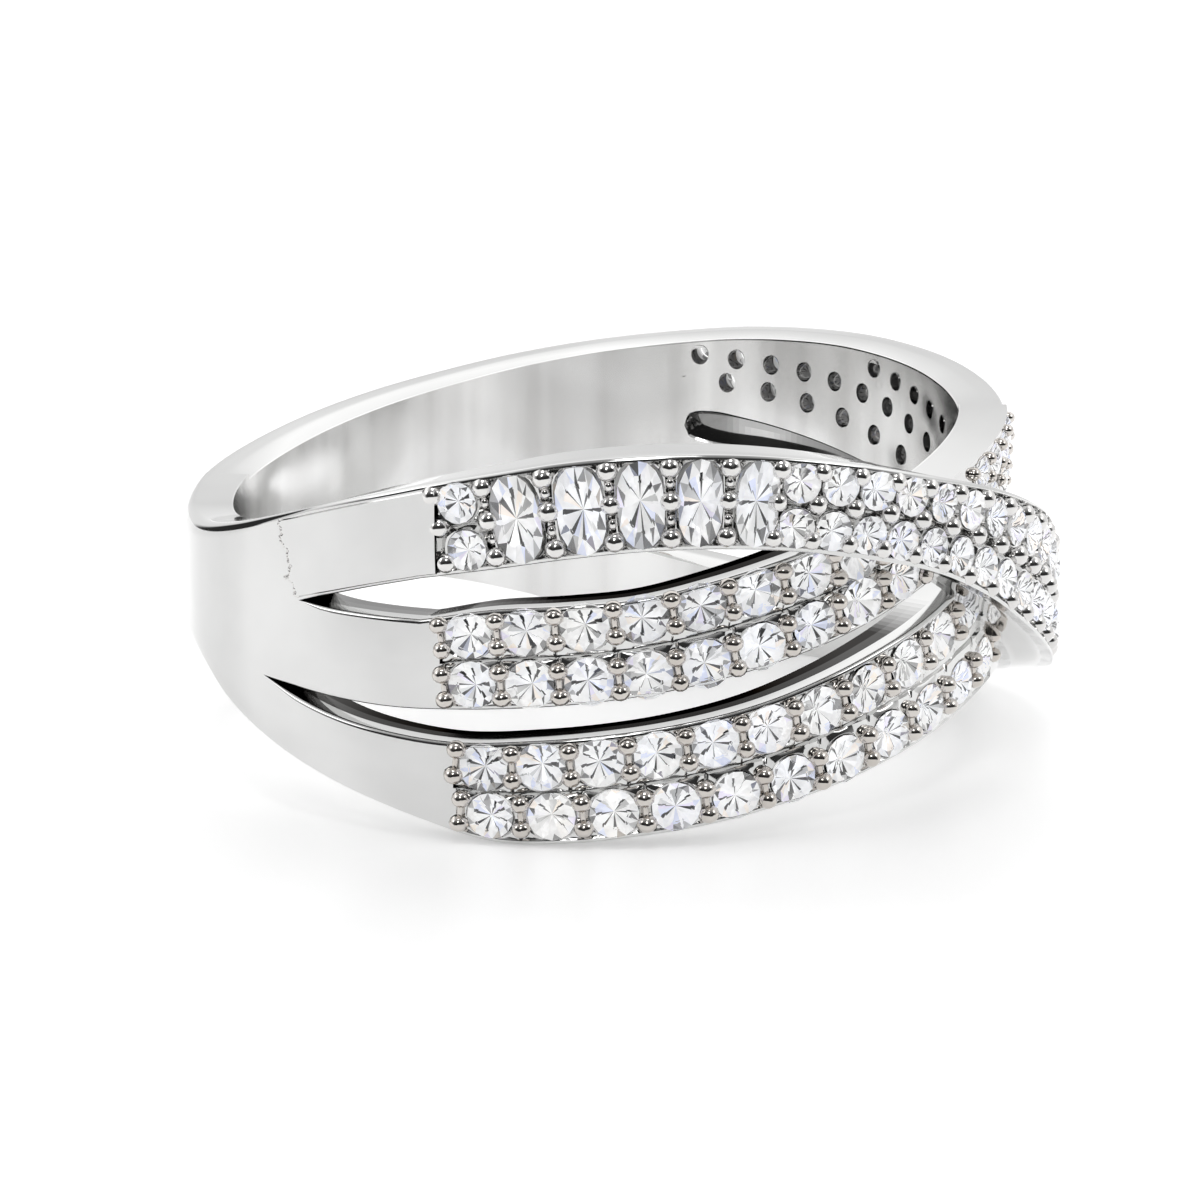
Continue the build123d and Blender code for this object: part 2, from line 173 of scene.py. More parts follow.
class Mesh:
    """Collects grids of points and their faces into one mesh, with a painted shade value for each face."""

    def __init__(self):
        self.points = []
        self.faces = []
        self.painted_light = []
        self.total = 0

    def add(self, points, faces, tone=None):
        self.points.append(points.reshape(-1, 3))
        self.faces.append((faces + self.total).reshape(-1, faces.shape[-1]))
        self.painted_light.append(np.zeros(len(self.faces[-1])) if tone is None else tone.ravel())
        self.total += self.points[-1].shape[0]

    def grid(self, points, close=False, keep=None, flip=False, tone=None):
        """points has shape (..., rows, columns, 3). close joins the last column to the first."""
        rows, columns = points.shape[-3], points.shape[-2]
        blocks = int(np.prod(points.shape[:-3])) if points.ndim > 3 else 1
        i = np.arange(rows - 1)[:, None]
        j = np.arange(columns if close else columns - 1)[None, :]
        after = (j + 1) % columns
        quads = np.stack([i * columns + j, i * columns + after, (i + 1) * columns + after, (i + 1) * columns + j], -1)
        if keep is not None:
            quads = quads[keep]
            tone = tone[keep]
        quads = quads.reshape(-1, 4)
        if flip:
            quads = quads[:, ::-1]
        all_quads = quads[None] + (np.arange(blocks) * rows * columns)[:, None, None]
        self.add(points, all_quads, tone)

    def made(self, name, smooth_angle=None):
        points = np.concatenate(self.points) * MM
        loops = np.concatenate([f.ravel() for f in self.faces])
        sizes = np.concatenate([np.full(len(f), f.shape[1]) for f in self.faces])
        data = bpy.data.meshes.new(name)
        data.vertices.add(len(points))
        data.vertices.foreach_set("co", points.ravel())
        data.loops.add(len(loops))
        data.loops.foreach_set("vertex_index", loops.astype(np.int32))
        data.polygons.add(len(sizes))
        starts = np.concatenate([[0], np.cumsum(sizes)[:-1]])
        data.polygons.foreach_set("loop_start", starts.astype(np.int32))
        data.polygons.foreach_set("loop_total", sizes.astype(np.int32))
        data.update(calc_edges=True)
        data.validate()
        # The per-face painted shade goes into an attribute that the metal's material reads
        if np.any(np.concatenate(self.painted_light)):
            recess = data.attributes.new("recess", "FLOAT", "FACE")
            recess.data.foreach_set("value", np.concatenate(self.painted_light))
        data.polygons.foreach_set("use_smooth", np.full(len(data.polygons), smooth_angle is not None))
        if smooth_angle is not None:
            data.set_sharp_from_angle(angle=math.radians(smooth_angle))
        made = bpy.data.objects.new(name, data)
        bpy.context.collection.objects.link(made)
        return made


# The strips that the metal is made of, and the rows of stones on them

STONE = np.dtype([("angle", float), ("height", float), ("along", float), ("across", float)])
BEADS = []  # (angle, height, radius of the wall, size along, size across)


class Row:
    """Stones along a strip, between two shares of its width, from one angle to another."""

    def __init__(self, stones, share, span, node, beads):
        self.stones = stones
        self.share = share
        self.span = span
        self.node = node
        self.beads = beads


def placed(count, rows, along=None):
    """Evenly spaced stones: rows holds angle, height and width at a few places."""
    rows = np.array(rows)
    made = np.zeros(count, STONE)
    made["angle"] = np.linspace(rows[0, 0], rows[-1, 0], count)
    made["height"] = curve(rows, 1, made["angle"])
    made["along"] = made["across"] = np.interp(made["angle"], rows[:, 0], rows[:, 2]) / 2
    return made


class Strip:
    """A band of metal between two edges, with its outer and inner walls.

    Its section is a closed line: outer wall, rounded corner, top side, bevel, inner wall, bevel, bottom side
    and rounded corner. Every point is a function of the angle along the strip and its place on that line.
    """

    def __init__(self, first, last, low, high, outer, inner, rows=(), bevels=(SMALL_BEVEL, SMALL_BEVEL),
                 pierced=True, gaps=(None, None), shoulder=None, recess=None, warp=None, step=1.0):
        self.first, self.last = first, last
        self.low, self.high, self.outer, self.inner = low, high, outer, inner
        self.rows, self.bevels, self.pierced, self.gaps, self.step = rows, bevels, pierced, gaps, step
        self.shoulder, self.recess, self.warp = shoulder, recess, warp

    def field(self, share, margin):
        """Height at a share of the width that is left between two margins."""
        return lambda angle: (self.low(angle) + margin
                              + self.warped(share, angle) * (self.high(angle) - self.low(angle) - 2 * margin))

    def warped(self, share, angle):
        """A share of the width, moved so that the borders between rows follow the stones: linear between places."""
        if self.warp is None:
            return share + 0 * angle
        places = [0 * angle] + [np.interp(angle, angles, moved) for _, angles, moved in self.warp] + [1 + 0 * angle]
        starts = [0.0] + [start for start, _, _ in self.warp] + [1.0]
        k = min(np.searchsorted(starts, share, "right") - 1, len(starts) - 2)
        t = (share - starts[k]) / (starts[k + 1] - starts[k])
        return places[k] + t * (places[k + 1] - places[k])

    def build(self, mesh):
        stations = [np.arange(self.first, self.last, self.step), [self.last]]
        shares = [np.linspace(0, 1, 13)]
        for row in self.rows:
            stations.append(row.span)
            shares.append(row.share)
        angle = np.unique(np.round(np.concatenate(stations), 4))
        share = np.unique(np.round(np.concatenate(shares), 4))
        angle = np.union1d(angle, [tip for tip in TIPS if self.first < tip < self.last])
        low, high = self.low(angle), self.high(angle)
        outer, inner = self.outer(angle), self.inner(angle)
        corner = [np.minimum(CORNER, self.room(side, angle)) for side in (0, 1)]
        if self.shoulder is not None:
            corner[1] = np.maximum(corner[1], self.shoulder(angle))
        lines = []  # (height, radius) for each place on the section
        fall = self.falls(angle)
        for s in share:
            s = self.warped(s, angle)
            height = low + RAIL + s * (high - low - RAIL - np.maximum(RAIL, corner[1]))
            lines.append((height, outer - np.where(s > 0.5, fall[1], fall[0]) * (2 * s - 1) ** 2))
        turns = np.radians(np.linspace(0, 90, 7))
        for t in turns:
            lines.append((high - corner[1] * (1 - math.sin(t)), outer - fall[1] - corner[1] * (1 - math.cos(t))))
        wide = [np.minimum(widest, self.room(side, angle)) for side, widest in enumerate(self.bevels)]
        tall = [self.bevel_height(side, angle) for side in (0, 1)]
        top_from, top_to = outer - fall[1] - corner[1], inner + wide[1]
        for s in (0.33, 0.66, 1.0):
            lines.append((high, top_from + (top_to - top_from) * s))
        lines.append((high - tall[1], inner))
        outer_count = len(share)
        inner_start = len(lines)
        for s in share[::-1]:
            lines.append((self.inner_line(s)(angle), inner))
        lines.append((low + tall[0], inner))
        bottom_from, bottom_to = inner + wide[0], outer - fall[0] - corner[0]
        for s in (0.0, 0.33, 0.66):
            lines.append((low, bottom_from + (bottom_to - bottom_from) * s))
        for t in turns[::-1]:
            lines.append((low + corner[0] * (1 - math.sin(t)), outer - fall[0] - corner[0] * (1 - math.cos(t))))
        height = np.stack([line[0] for line in lines], 1)
        radius = np.stack([line[1] for line in lines], 1)
        points = spots(angle[:, None], height, radius)
        count = len(lines)
        keep = np.ones((len(angle) - 1, count), bool)
        middle = (angle[1:] + angle[:-1]) / 2
        for row in self.rows:
            inside = (middle > row.span[0]) & (middle < row.span[1])
            at = np.searchsorted(share, np.round(row.share, 4))
            columns = np.zeros(count, bool)
            columns[at[0]:at[1]] = True
            if self.pierced:
                n = outer_count
                columns[inner_start + n - 1 - at[1]:inner_start + n - 1 - at[0]] = True
            keep &= ~(inside[:, None] & columns[None, :])
        # Painted shade on the metal: an under arm's upper side darker towards the crossing, and a thin dark line along
        # the rear rim's inner bevel
        tone = np.zeros((len(angle) - 1, count))
        if self.recess is not None:
            top_side = outer_count + len(turns) - 1
            tone[:, top_side:top_side + 4] = self.recess(middle)[:, None] * PAINTED_SHADE_SHARES
        tone[:, inner_start - 1] = self.painted_rim_shade(middle)
        mesh.grid(points, close=True, keep=keep, tone=tone)
        cap = np.arange(count)[None, :]
        mesh.add(points[0], cap)
        mesh.add(points[-1], cap[:, ::-1])
        for row in self.rows:
            self.set_row(mesh, row)

    def falls(self, angle):
        """How far the wall falls back at its two edges: a dome, which fades where a neighbour joins it."""
        dome = DOME * np.clip((self.high(angle) - self.low(angle)) / 3, 0.3, 1.0)
        return [dome if gap is None else dome * np.clip(gap(angle) / DOME_FADE, 0, 1) for gap in self.gaps]

    def wall_radius(self, angle, height):
        """The outer wall with its slight dome."""
        low, high = self.low(angle), self.high(angle)
        s = np.clip((height - low - RAIL) / (high - low - 2 * RAIL), 0, 1)
        falls = self.falls(angle)
        return self.outer(angle) - np.where(s > 0.5, falls[1], falls[0]) * (2 * s - 1) ** 2

    def room(self, side, angle):
        """How much the neighbour's nearness leaves for a rounded edge: 0.45 of the gap."""
        gap = self.gaps[side]
        return np.full(np.shape(angle), 1.0) if gap is None else 0.45 * gap(angle)

    def bevel_height(self, side, angle):
        tallest = BEVEL_HEIGHT if self.bevels[side] > SMALL_BEVEL else SMALL_BEVEL
        return np.minimum(tallest, self.room(side, angle))

    def inner_line(self, s):
        """Height on the finger wall at a share of its width. The lip is a narrow strip beside each bevel."""
        if s == 0:
            return lambda angle: self.low(angle) + self.bevel_height(0, angle) + np.minimum(LIP, self.room(0, angle))
        if s == 1:
            return lambda angle: self.high(angle) - self.bevel_height(1, angle) - np.minimum(LIP, self.room(1, angle))
        return self.field(s, INNER_MARGIN)

    def painted_rim_shade(self, angle):
        """Painted shade: a thin dark line along the bevel's lower edge, right of the rear: 1 between two angles, fading
        beside.
        """
        if self.high is not right_high:
            return 0 * angle
        return PAINTED_RIM_SHADE * np.clip((angle - 16) / 10, 0, 1) * np.clip((100 - angle) / 30, 0, 1)

    def set_row(self, mesh, row):
        stones = row.stones
        slope = self.slope(stones["angle"])
        bounds = np.concatenate([[row.span[0]], (stones["angle"][1:] + stones["angle"][:-1]) / 2, [row.span[1]]])
        lines = [self.field(share, RAIL) for share in row.share]
        depths = [0.0 if share in (0, 1) else -GROOVE_DEPTH[row.beads] for share in row.share]
        hole = (stones["along"] + SEAT_GAP, stones["across"] + SEAT_GAP)
        angle, height = self.tiles(stones, bounds, lines, hole, slope)
        level = np.array(TILE_LEVELS[row.beads])[None, :, None] + 0 * angle
        for line, side, depth in ((lines[0], 1, depths[0]), (lines[1], -1, depths[1])):
            near = self.near(side * (height - line(angle)))
            level = level + near * (depth - level)
        level[:, 0] = SEAT_LEVEL
        radius = self.wall_radius(angle, height)
        mesh.grid(spots(angle, height, radius + level), close=True)
        self.seats(mesh, stones, angle[:, 0], height[:, 0], radius[:, 0])
        self.step_walls(mesh, row, lines)
        if self.pierced:
            inner_lines = [self.inner_line(share) for share in row.share]
            back = pierced_radius(stones)
            angle, height = self.tiles(stones, bounds, inner_lines, (back, back), slope)
            mesh.grid(spots(angle, height, self.inner(angle)), close=True, flip=True)
        BEADS.append((self, row))

    @staticmethod
    def near(distance):
        """1 on a line and 0 from 0.06 mm off it."""
        t = np.clip(1 - distance / 0.06, 0, 1)
        return t * t * (3 - 2 * t)

    def slope(self, angle):
        """Rise of the strip's middle line per millimetre round the ring."""
        step = 1.5
        rise = (self.low(angle + step) + self.high(angle + step) - self.low(angle - step) - self.high(angle - step)) / 2
        return rise / (self.outer(angle) * np.radians(2 * step))

    def tiles(self, stones, bounds, lines, hole, slope):
        """Squares round holes with straight sides and round ends of radius h, whose centres lie s off the middle.

        A line from the middle through (x, y) meets a side at h / |x| times its length, or else a round end at
        (|y| s + sqrt(y^2 s^2 - (x^2 + y^2)(s^2 - h^2))) / (x^2 + y^2) times. Rings of points run from there to the
        border.
        """
        side = np.arange(SIDE) / SIDE
        u = np.concatenate([side, np.ones(SIDE), 1 - side, np.zeros(SIDE)])
        v = np.concatenate([np.zeros(SIDE), side, np.ones(SIDE), 1 - side])
        angle = bounds[:-1, None] + (bounds[1:] - bounds[:-1])[:, None] * u
        height = lines[0](angle) + (lines[1](angle) - lines[0](angle)) * v
        scale = (self.outer(stones["angle"]) * math.radians(1))[:, None]
        lean = np.arctan(slope)[:, None]
        dx, dz = (angle - stones["angle"][:, None]) * scale, height - stones["height"][:, None]
        x = dx * np.cos(lean) + dz * np.sin(lean)
        y = dz * np.cos(lean) - dx * np.sin(lean)
        half, straight = hole[0][:, None], (hole[1] - hole[0])[:, None]
        far = x ** 2 + y ** 2
        round_end = np.abs(y) * straight
        root = np.sqrt(np.maximum(round_end ** 2 - far * (straight ** 2 - half ** 2), 0))
        side_hit = half / np.maximum(np.abs(x), 1e-9)
        on_side = np.abs(y) * side_hit <= straight
        reach = np.maximum(1 / np.where(on_side, side_hit, (round_end + root) / far), 1.03)
        t = np.array(TILE_RINGS)[None, :, None]
        factor = 1 / reach[:, None] + t * (1 - 1 / reach[:, None])
        x, y = x[:, None] * factor, y[:, None] * factor
        lean = lean[:, None]
        back_x, back_z = x * np.cos(lean) - y * np.sin(lean), x * np.sin(lean) + y * np.cos(lean)
        return stones["angle"][:, None, None] + back_x / scale[:, None], stones["height"][:, None, None] + back_z

    def seats(self, mesh, stones, angle, height, radius):
        """The seat under each stone narrows to the pierced hole: share and depth for each ring."""
        wall = (self.outer(stones["angle"]) - self.inner(stones["angle"]))[:, None]
        share = pierced_radius(stones) / stones["along"] if self.pierced else PIERCED + 0 * stones["along"]
        pierced = np.broadcast_to(share[:, None], angle.shape)
        ones = np.ones_like(pierced)
        deep = wall if self.pierced else np.full_like(wall, 0.6)
        shares = np.stack([ones, ones * 0.96, pierced, pierced if self.pierced else pierced * 0.02], 1)
        depths = np.stack([ones * -SEAT_LEVEL, ones * 0.20, ones * 0.58, ones * deep], 1)
        centre_a, centre_z = stones["angle"][:, None, None], stones["height"][:, None, None]
        a = centre_a + (angle[:, None] - centre_a) * shares
        z = centre_z + (height[:, None] - centre_z) * shares
        # Painted shade: the last ring of a pierced seat, the hole's wall, is painted dark
        tone = np.zeros((len(stones), 3, angle.shape[1]))
        if self.pierced:
            tone[:, 2] = HOLE_PAINTED_SHADE
        mesh.grid(spots(a, z, radius[:, None] - depths), close=True, flip=True, tone=tone)

    def step_walls(self, mesh, row, lines):
        """A low wall where the plain metal drops to the floor between the stones."""
        for angle, flip in ((row.span[0], True), (row.span[1], False)):
            s = np.linspace(0, 1, SIDE + 1)
            a = np.full_like(s, angle)
            z = lines[0](a) + (lines[1](a) - lines[0](a)) * s
            r = self.wall_radius(a, z)
            points = np.stack([spots(a, z, r), spots(a, z, r - GROOVE_DEPTH[row.beads] - 0.02)])
            mesh.grid(points, flip=flip)


def pierced_radius(stones):
    """Radius of the hole behind a stone: a share of the stone's, but at least 0.25 where the stone is larger."""
    return np.minimum(np.maximum(PIERCED * stones["across"], SMALLEST_HOLE), 0.9 * stones["across"])


SIDE = 8
TILE_RINGS = (0.0, 0.18, 0.50, 0.80, 0.93, 1.0)
# Height of the metal between the stones, ring by ring from a seat to its neighbours, and depth of the groove
SEAT_LEVEL = -0.06
TILE_LEVELS = {"three": (SEAT_LEVEL, -0.05, -0.16, -0.20, -0.20, -0.20),
               "two": (SEAT_LEVEL, -0.03, -0.05, -0.05, -0.05, -0.05)}
GROOVE_DEPTH = {"three": 0.26, "two": 0.15}
SEAT_GAP = 0.012
PIERCED = 0.56
SMALLEST_HOLE = 0.25
HOLE_PAINTED_SHADE = 0.7

lower_low = edge((-180, LEFT_SHANK, LOW), (-100, UNDER, LOW))
lower_high = edge((-180, LOWER_SEAM, LOW), (-127.4, LOWER_SLIT, LOW))
middle_low = edge((-180, LOWER_SEAM, LOW), (-127.4, LOWER_SLIT, HIGH))
middle_high = edge((-180, UPPER_SEAM, LOW), (-119.8, UPPER_GAP, LOW), (-100, UNDER, HIGH))
over_low = edge((-180, UPPER_SEAM, LOW), (-119.8, UPPER_GAP, HIGH), (-100, OVER, LOW), (92, RIGHT_SHANK, LOW))
over_high = edge((-180, LEFT_SHANK, HIGH), (-100, OVER, HIGH), (92, FAR_GAP, LOW), (119.8, FAR_SEAM, LOW))
far_low = edge((14, UNDER, LOW), (92, FAR_GAP, HIGH), (119.8, FAR_SEAM, LOW))
far_high = edge((14, FAR_SLIT, LOW), (88.9, HIGH_SEAM, LOW))
right_low = edge((14, FAR_SLIT, HIGH), (88.9, HIGH_SEAM, LOW))
right_high = edge((14, UNDER, HIGH), (92, RIGHT_SHANK, HIGH))

lower_rows = [
    Row(placed(11, [(-91, -2.57, 1.12), (-75.5, -2.37, 1.13), (-59.5, -2.01, 1.13), (-43.3, -1.51, 1.13),
                    (-20.6, -0.47, 1.10), (-13.2, -0.07, 1.06)]), (0.5, 1.0), (-95.2, -9.2), "lower_arm_stones", "two"),
    Row(placed(11, [(-90.1, -3.70, 1.08), (-74.7, -3.58, 1.13), (-58.6, -3.32, 1.13), (-41.6, -2.83, 1.13),
                    (-25, -2.15, 1.10), (-7.1, -1.55, 0.96)]), (0.0, 0.5), (-94.8, -3.2),
        "lower_arm_stones", "two"),
]
middle_rows = [
    Row(placed(8, [(-93, 0.48, 1.08), (-85.2, 0.64, 1.12), (-77.3, 0.80, 1.13), (-61.4, 1.20, 1.13),
                   (-46.2, 1.68, 1.10), (-38.4, 1.92, 1.06)]), (0.5, 1.0), (-97.0, -34.5), "middle_arm_stones", "two"),
    Row(placed(9, [(-92.5, -0.66, 1.10), (-76.4, -0.48, 1.13), (-60.5, -0.13, 1.13), (-52.6, 0.17, 1.13),
                   (-37.5, 0.86, 1.10), (-29.8, 1.20, 1.04)]), (0.0, 0.5), (-96.6, -25.9), "middle_arm_stones", "two"),
    Row(placed(4, [(-9.5, 2.95, 0.86), (9.0, 3.26, 0.80)]), (0.5, 1.0), (-13.0, 12.4), "middle_arm_stones", "two"),
    Row(placed(4, [(-9.5, 2.03, 0.84), (9.0, 2.50, 0.72)]), (0.0, 0.5), (-13.0, 12.2), "middle_arm_stones", "two"),
]
right_rows = [
    Row(placed(7, [(36, 1.24, 0.80), (50, 1.80, 0.90), (65, 2.26, 0.80), (81.5, 2.56, 0.60)]),
        (0.0, 0.40), (32.6, 85.2), "lower_arm_stones", "two"),
    Row(placed(9, [(34.9, 2.14, 0.66), (48, 2.64, 0.70), (62, 2.98, 0.70), (86.3, 3.22, 0.60)]),
        (0.40, 0.70), (31.4, 89.5), "lower_arm_stones", "two"),
    Row(placed(5, [(28, 2.80, 0.50), (39.9, 3.16, 0.50), (51.4, 3.50, 0.50)]),
        (0.70, 0.94), (25.0, 54.2), "lower_arm_stones", "two"),
]
far_rows = [
    Row(placed(5, [(56, -1.36, 0.92), (69.4, -0.92, 0.96), (88, -0.62, 0.90)]),
        (0.0, 0.5), (52.0, 92.0), "far_middle_arm_stones", "two"),
    Row(placed(7, [(40, -0.92, 0.92), (52.6, -0.38, 0.96), (68.5, 0.14, 0.96), (88, 0.42, 0.90)]),
        (0.5, 1.0), (36.0, 92.0), "far_middle_arm_stones", "two"),
]


def over_height(angle):
    return (over_low(angle) + over_high(angle)) / 2


def over_slope(angle):
    step = 1.5
    return (over_height(angle + step) - over_height(angle - step)) / (over_outer(angle) * np.radians(2 * step))


def over_pairs(angle, width, share, side):
    """One stone of each pair, off the over arm's middle line by a share of its width, square to its run."""
    slope = over_slope(angle)
    reach = side * share * (over_high(angle) - over_low(angle)) / (1 + slope ** 2)
    made = np.zeros(len(angle), STONE)
    made["angle"] = angle - np.degrees(reach * slope / over_outer(angle))
    made["height"] = over_height(angle) + reach
    made["along"] = made["across"] = width / 2
    return made


def ovals(angle):
    made = np.zeros(len(angle), STONE)
    made["angle"], made["height"] = angle, over_height(angle)
    made["along"] = np.interp(np.abs(angle), (55, 63, 78, 87), (0.50, 0.515, 0.56, 0.585))
    made["across"] = 0.462 * (over_high(angle) - over_low(angle))
    return made


OVAL_ANGLES = np.array([-86.3, -77.9, -70.3, -62.9, -55.7])
PAIR_ANGLES = -50.4 + 5.15 * np.arange(20)
over_rows = [
    Row(over_pairs(np.array([-93.8]), 0.96, 0.26, 1), (0.5, 1.0), (-97.4, -89.9), "over_arm_stones", "three"),
    Row(over_pairs(np.array([-93.8]), 0.96, 0.26, -1), (0.0, 0.5), (-97.4, -89.9), "over_arm_stones", "three"),
    Row(ovals(OVAL_ANGLES), (0.0, 1.0), (-89.9, -52.9), "ovals", "three"),
    Row(over_pairs(PAIR_ANGLES, 0.91, 0.245, 1), (0.5, 1.0), (-52.9, 51.0), "over_arm_stones", "three"),
    Row(over_pairs(PAIR_ANGLES, 0.91, 0.245, -1), (0.0, 0.5), (-52.9, 51.0), "over_arm_stones", "three"),
    Row(ovals(-OVAL_ANGLES[::-1] - 0.3), (0.0, 1.0), (51.0, 90.2), "ovals", "three"),
]


def slit_gap(low, high):
    return lambda angle: np.maximum(high(angle) - low(angle), 0.0)


lower_gap = slit_gap(lower_high, middle_low)
upper_gap = slit_gap(middle_high, over_low)
far_gap = slit_gap(over_high, far_low)
high_gap = slit_gap(far_high, right_low)


def shoulder(angle):
    """Radius of the shank's upper outer edge, near the photo's left end: s sin(pi u), u = (-118 - a) / 64."""
    return CORNER + SHOULDER * np.sin(math.pi * np.clip((-118 - angle) / 64, 0, 1))


def painted_side_shade(low, high):
    """Painted shade on the upper side of an under arm: low at its left end, growing towards the crossing."""
    return lambda angle: (low + (high - low) * np.clip((angle + 100) / 20, 0, 1)) \
        * np.clip((-20 - angle) / 10, 0, 1) * (angle > -124)


# Painted shade across an under arm's upper side, from its outer edge to its inner edge
PAINTED_SHADE_SHARES = (0.05, 0.86, 0.95, 0.55)  # from the outer edge of that side to its inner edge
# The right arm's rows change their share of its width along it. Columns: share, angles, moved share
RIGHT_WARP = (
    (0.40, (36, 50, 65, 81.5), (0.375, 0.446, 0.504, 0.56)),
    (0.70, (28, 51, 62, 75, 86), (0.68, 0.735, 0.80, 0.88, 0.95)),
)
BIG, SMALL = BEVEL_WIDTH, SMALL_BEVEL
strips = [
    Strip(-180, 14, lower_low, lower_high, under_outer, under_inner, lower_rows, (BIG, SMALL), True,
          (None, lower_gap), recess=painted_side_shade(0.90, 0.95)),
    Strip(-180, 14, middle_low, middle_high, under_outer, under_inner, middle_rows, (SMALL, SMALL), True,
          (lower_gap, upper_gap), recess=painted_side_shade(0.45, 0.97)),
    Strip(-180, 180, over_low, over_high, over_outer, over_inner, over_rows, (SMALL, BIG), False,
          (upper_gap, far_gap), shoulder),
    Strip(14, 180, far_low, far_high, under_outer, under_inner, far_rows, (SMALL, SMALL), True,
          (far_gap, high_gap)),
    Strip(14, 180, right_low, right_high, under_outer, under_inner, right_rows, (SMALL, BIG), True,
          (high_gap, None), warp=RIGHT_WARP),
]
metal = Mesh()
for strip in strips:
    strip.build(metal)


PANEL_SPAN = (-119.8, -97.4)
PANEL_RISE = 0.09
PANEL_LEAN = -3.2  # how much further left the panel starts at its upper end, in degrees
SEAM = ((1.9, 0.30), (4.3, 0.26), (9.7, 0.20), (17.0, 0.14))  # waves along the rough seam and their size in degrees


def seam_angle(share):
    """Where the panel's rough end lies at a share of its width: a0 + l v + sum of s sin(2 pi f v + f)."""
    rough = sum(size * np.sin(2 * math.pi * f * share + f) for f, size in SEAM)
    return PANEL_SPAN[0] + PANEL_LEAN * share + rough


def raised_panel(mesh):
    """A low slab on the over arm: its height over the wall is a profile from its edges, its left end a rough line."""
    along = np.concatenate([[0, 0.004, 0.008], np.linspace(0.012, 1, 26)])
    across = np.concatenate([[0, 0.012, 0.024], np.linspace(0.04, 0.96, 30), [0.976, 0.988, 1]])
    start = seam_angle(across)
    angle = start[None, :] + (PANEL_SPAN[1] - start)[None, :] * along[:, None]
    low, high = over_low(angle) + 0.06, over_high(angle) - 0.13
    height = low + (high - low) * across[None, :]
    ends = np.minimum(along / 0.008, 1.0)[:, None]
    sides = np.minimum(np.minimum(across, 1 - across) / 0.024, 1.0)[None, :]
    lift = -0.03 + (PANEL_RISE + 0.03) * np.minimum(ends, sides)
    radius = strips[2].wall_radius(angle, height) + lift
    mesh.grid(spots(angle, height, radius))


WEB_IN, WEB_OUT = 9.30, 9.55


def far_web(mesh):
    """The thin web that closes the far gap: two walls between its edges, at r = 9.30 and r = 9.55."""
    angle = np.append(np.arange(14, 88.9, 1.0), 88.9)[:, None]
    share = np.linspace(0, 1, 5)[None, :]
    low, high = far_high(angle), right_low(angle)
    height = low + (high - low) * share
    middle = (angle[1:] + angle[:-1]) / 2
    # Painted shade on the web in the slot: darkness by angle, lightest about 76 to 79 degrees, and near-black along its
    # upper quarter
    tone = np.interp(middle, (43, 60, 70, 76, 79, 83, 89), (0.85, 0.75, 0.55, 0.05, 0.10, 0.55, 0.65))
    tone = np.maximum(tone, np.array([0, 0, 0.3, 0.9]))
    for radius, flip in ((WEB_IN, True), (WEB_OUT, False)):
        mesh.grid(spots(angle + 0 * share, height, radius + 0 * height), flip=flip, tone=tone)


raised_panel(metal)
far_web(metal)
ring_metal = metal.made("ring_metal", 32)

# Cut stones


SPOKES = 8
# Painted shade: the narrow facet of each spoke mostly gets a dark painted brightness, a painted dark spoke
DARK_TURN = 0.22  # share of a spoke's turn that its dark facet takes


def brilliant():
    """A round brilliant of width 2 with its table up.

    Crown: an 8-sided table, stars, kites and halves. Pavilion: from the girdle to a ring of narrow and wide facets
    in turn, which run down to the culet. Returns points, crown faces, outer pavilion faces, wide and narrow spokes.
    """
    def ring(turns, radius, height):
        turn = np.asarray(turns) * 2 * math.pi
        return np.stack([radius * np.cos(turn), radius * np.sin(turn), np.full(len(turn), height)], 1)

    eighth = np.arange(8) / 8
    sixteenth = np.arange(16) / 16
    spoke = (np.arange(SPOKES)[:, None] + np.array([-DARK_TURN / 2, DARK_TURN / 2, 0.5])).ravel() / SPOKES
    points = np.concatenate([ring(eighth, 0.56, 0.27), ring(eighth + 1 / 16, 0.78, 0.17), ring(sixteenth, 1.0, 0.015),
                             ring(sixteenth, 1.0, -0.03), ring(spoke, 0.62, -0.30), [[0, 0, -0.62]]])
    t, s, u, w, m, c = 0, 8, 16, 32, 48, 72
    crown = [[t + i for i in range(8)]]
    outer, wide, narrow = [], [], []
    for i in range(8):
        j, before = (i + 1) % 8, (i - 1) % 8
        a, b, d = 2 * i, 2 * i + 1, (2 * i + 2) % 16
        crown += [[t + i, s + i, t + j], [t + i, s + before, u + a, s + i]]
        crown += [[s + i, u + a, u + b], [s + i, u + b, u + d]]
        crown += [[u + a, w + a, w + b, u + b], [u + b, w + b, w + d, u + d]]
        left, right, half, after = m + 3 * i, m + 3 * i + 1, m + 3 * i + 2, m + 3 * j
        outer += [[w + a, left, right], [w + a, right, w + b], [w + b, right, half], [w + b, half, after],
                  [w + b, after, w + d]]
        narrow += [[left, c, right]]
        wide += [[right, c, half], [half, c, after]]
    return points, crown, outer, wide, narrow


def stone_frames(strip, stones):
    """Places and axes of stones: along the strip, across it, and out of the wall."""
    angle, height = stones["angle"], stones["height"]
    radius = strip.wall_radius(angle, height)
    here = spots(angle, height, radius)
    turn = np.radians(angle)
    shift = OVER_OUTER[1] if strip.outer is over_outer else 0.0
    outward = np.stack([np.sin(turn) * radius, -np.cos(turn) * radius + shift, 0 * turn], 1)
    outward /= np.linalg.norm(outward, axis=1)[:, None]
    along = np.stack([np.cos(turn), np.sin(turn), strip.slope(angle)], 1)
    along -= outward * np.sum(along * outward, 1)[:, None]
    along /= np.linalg.norm(along, axis=1)[:, None]
    return here, along, np.cross(outward, along), outward


STONE_LIFT = 0.0
STRAIGHT = 0.35  # how straight the long stones' sides are: 0 is an ellipse
TILT = 0.035
PAVILION = slice(48, 73)  # the points below the girdle
CUT_CHANCE = 0.035
chance = np.random.RandomState(11)


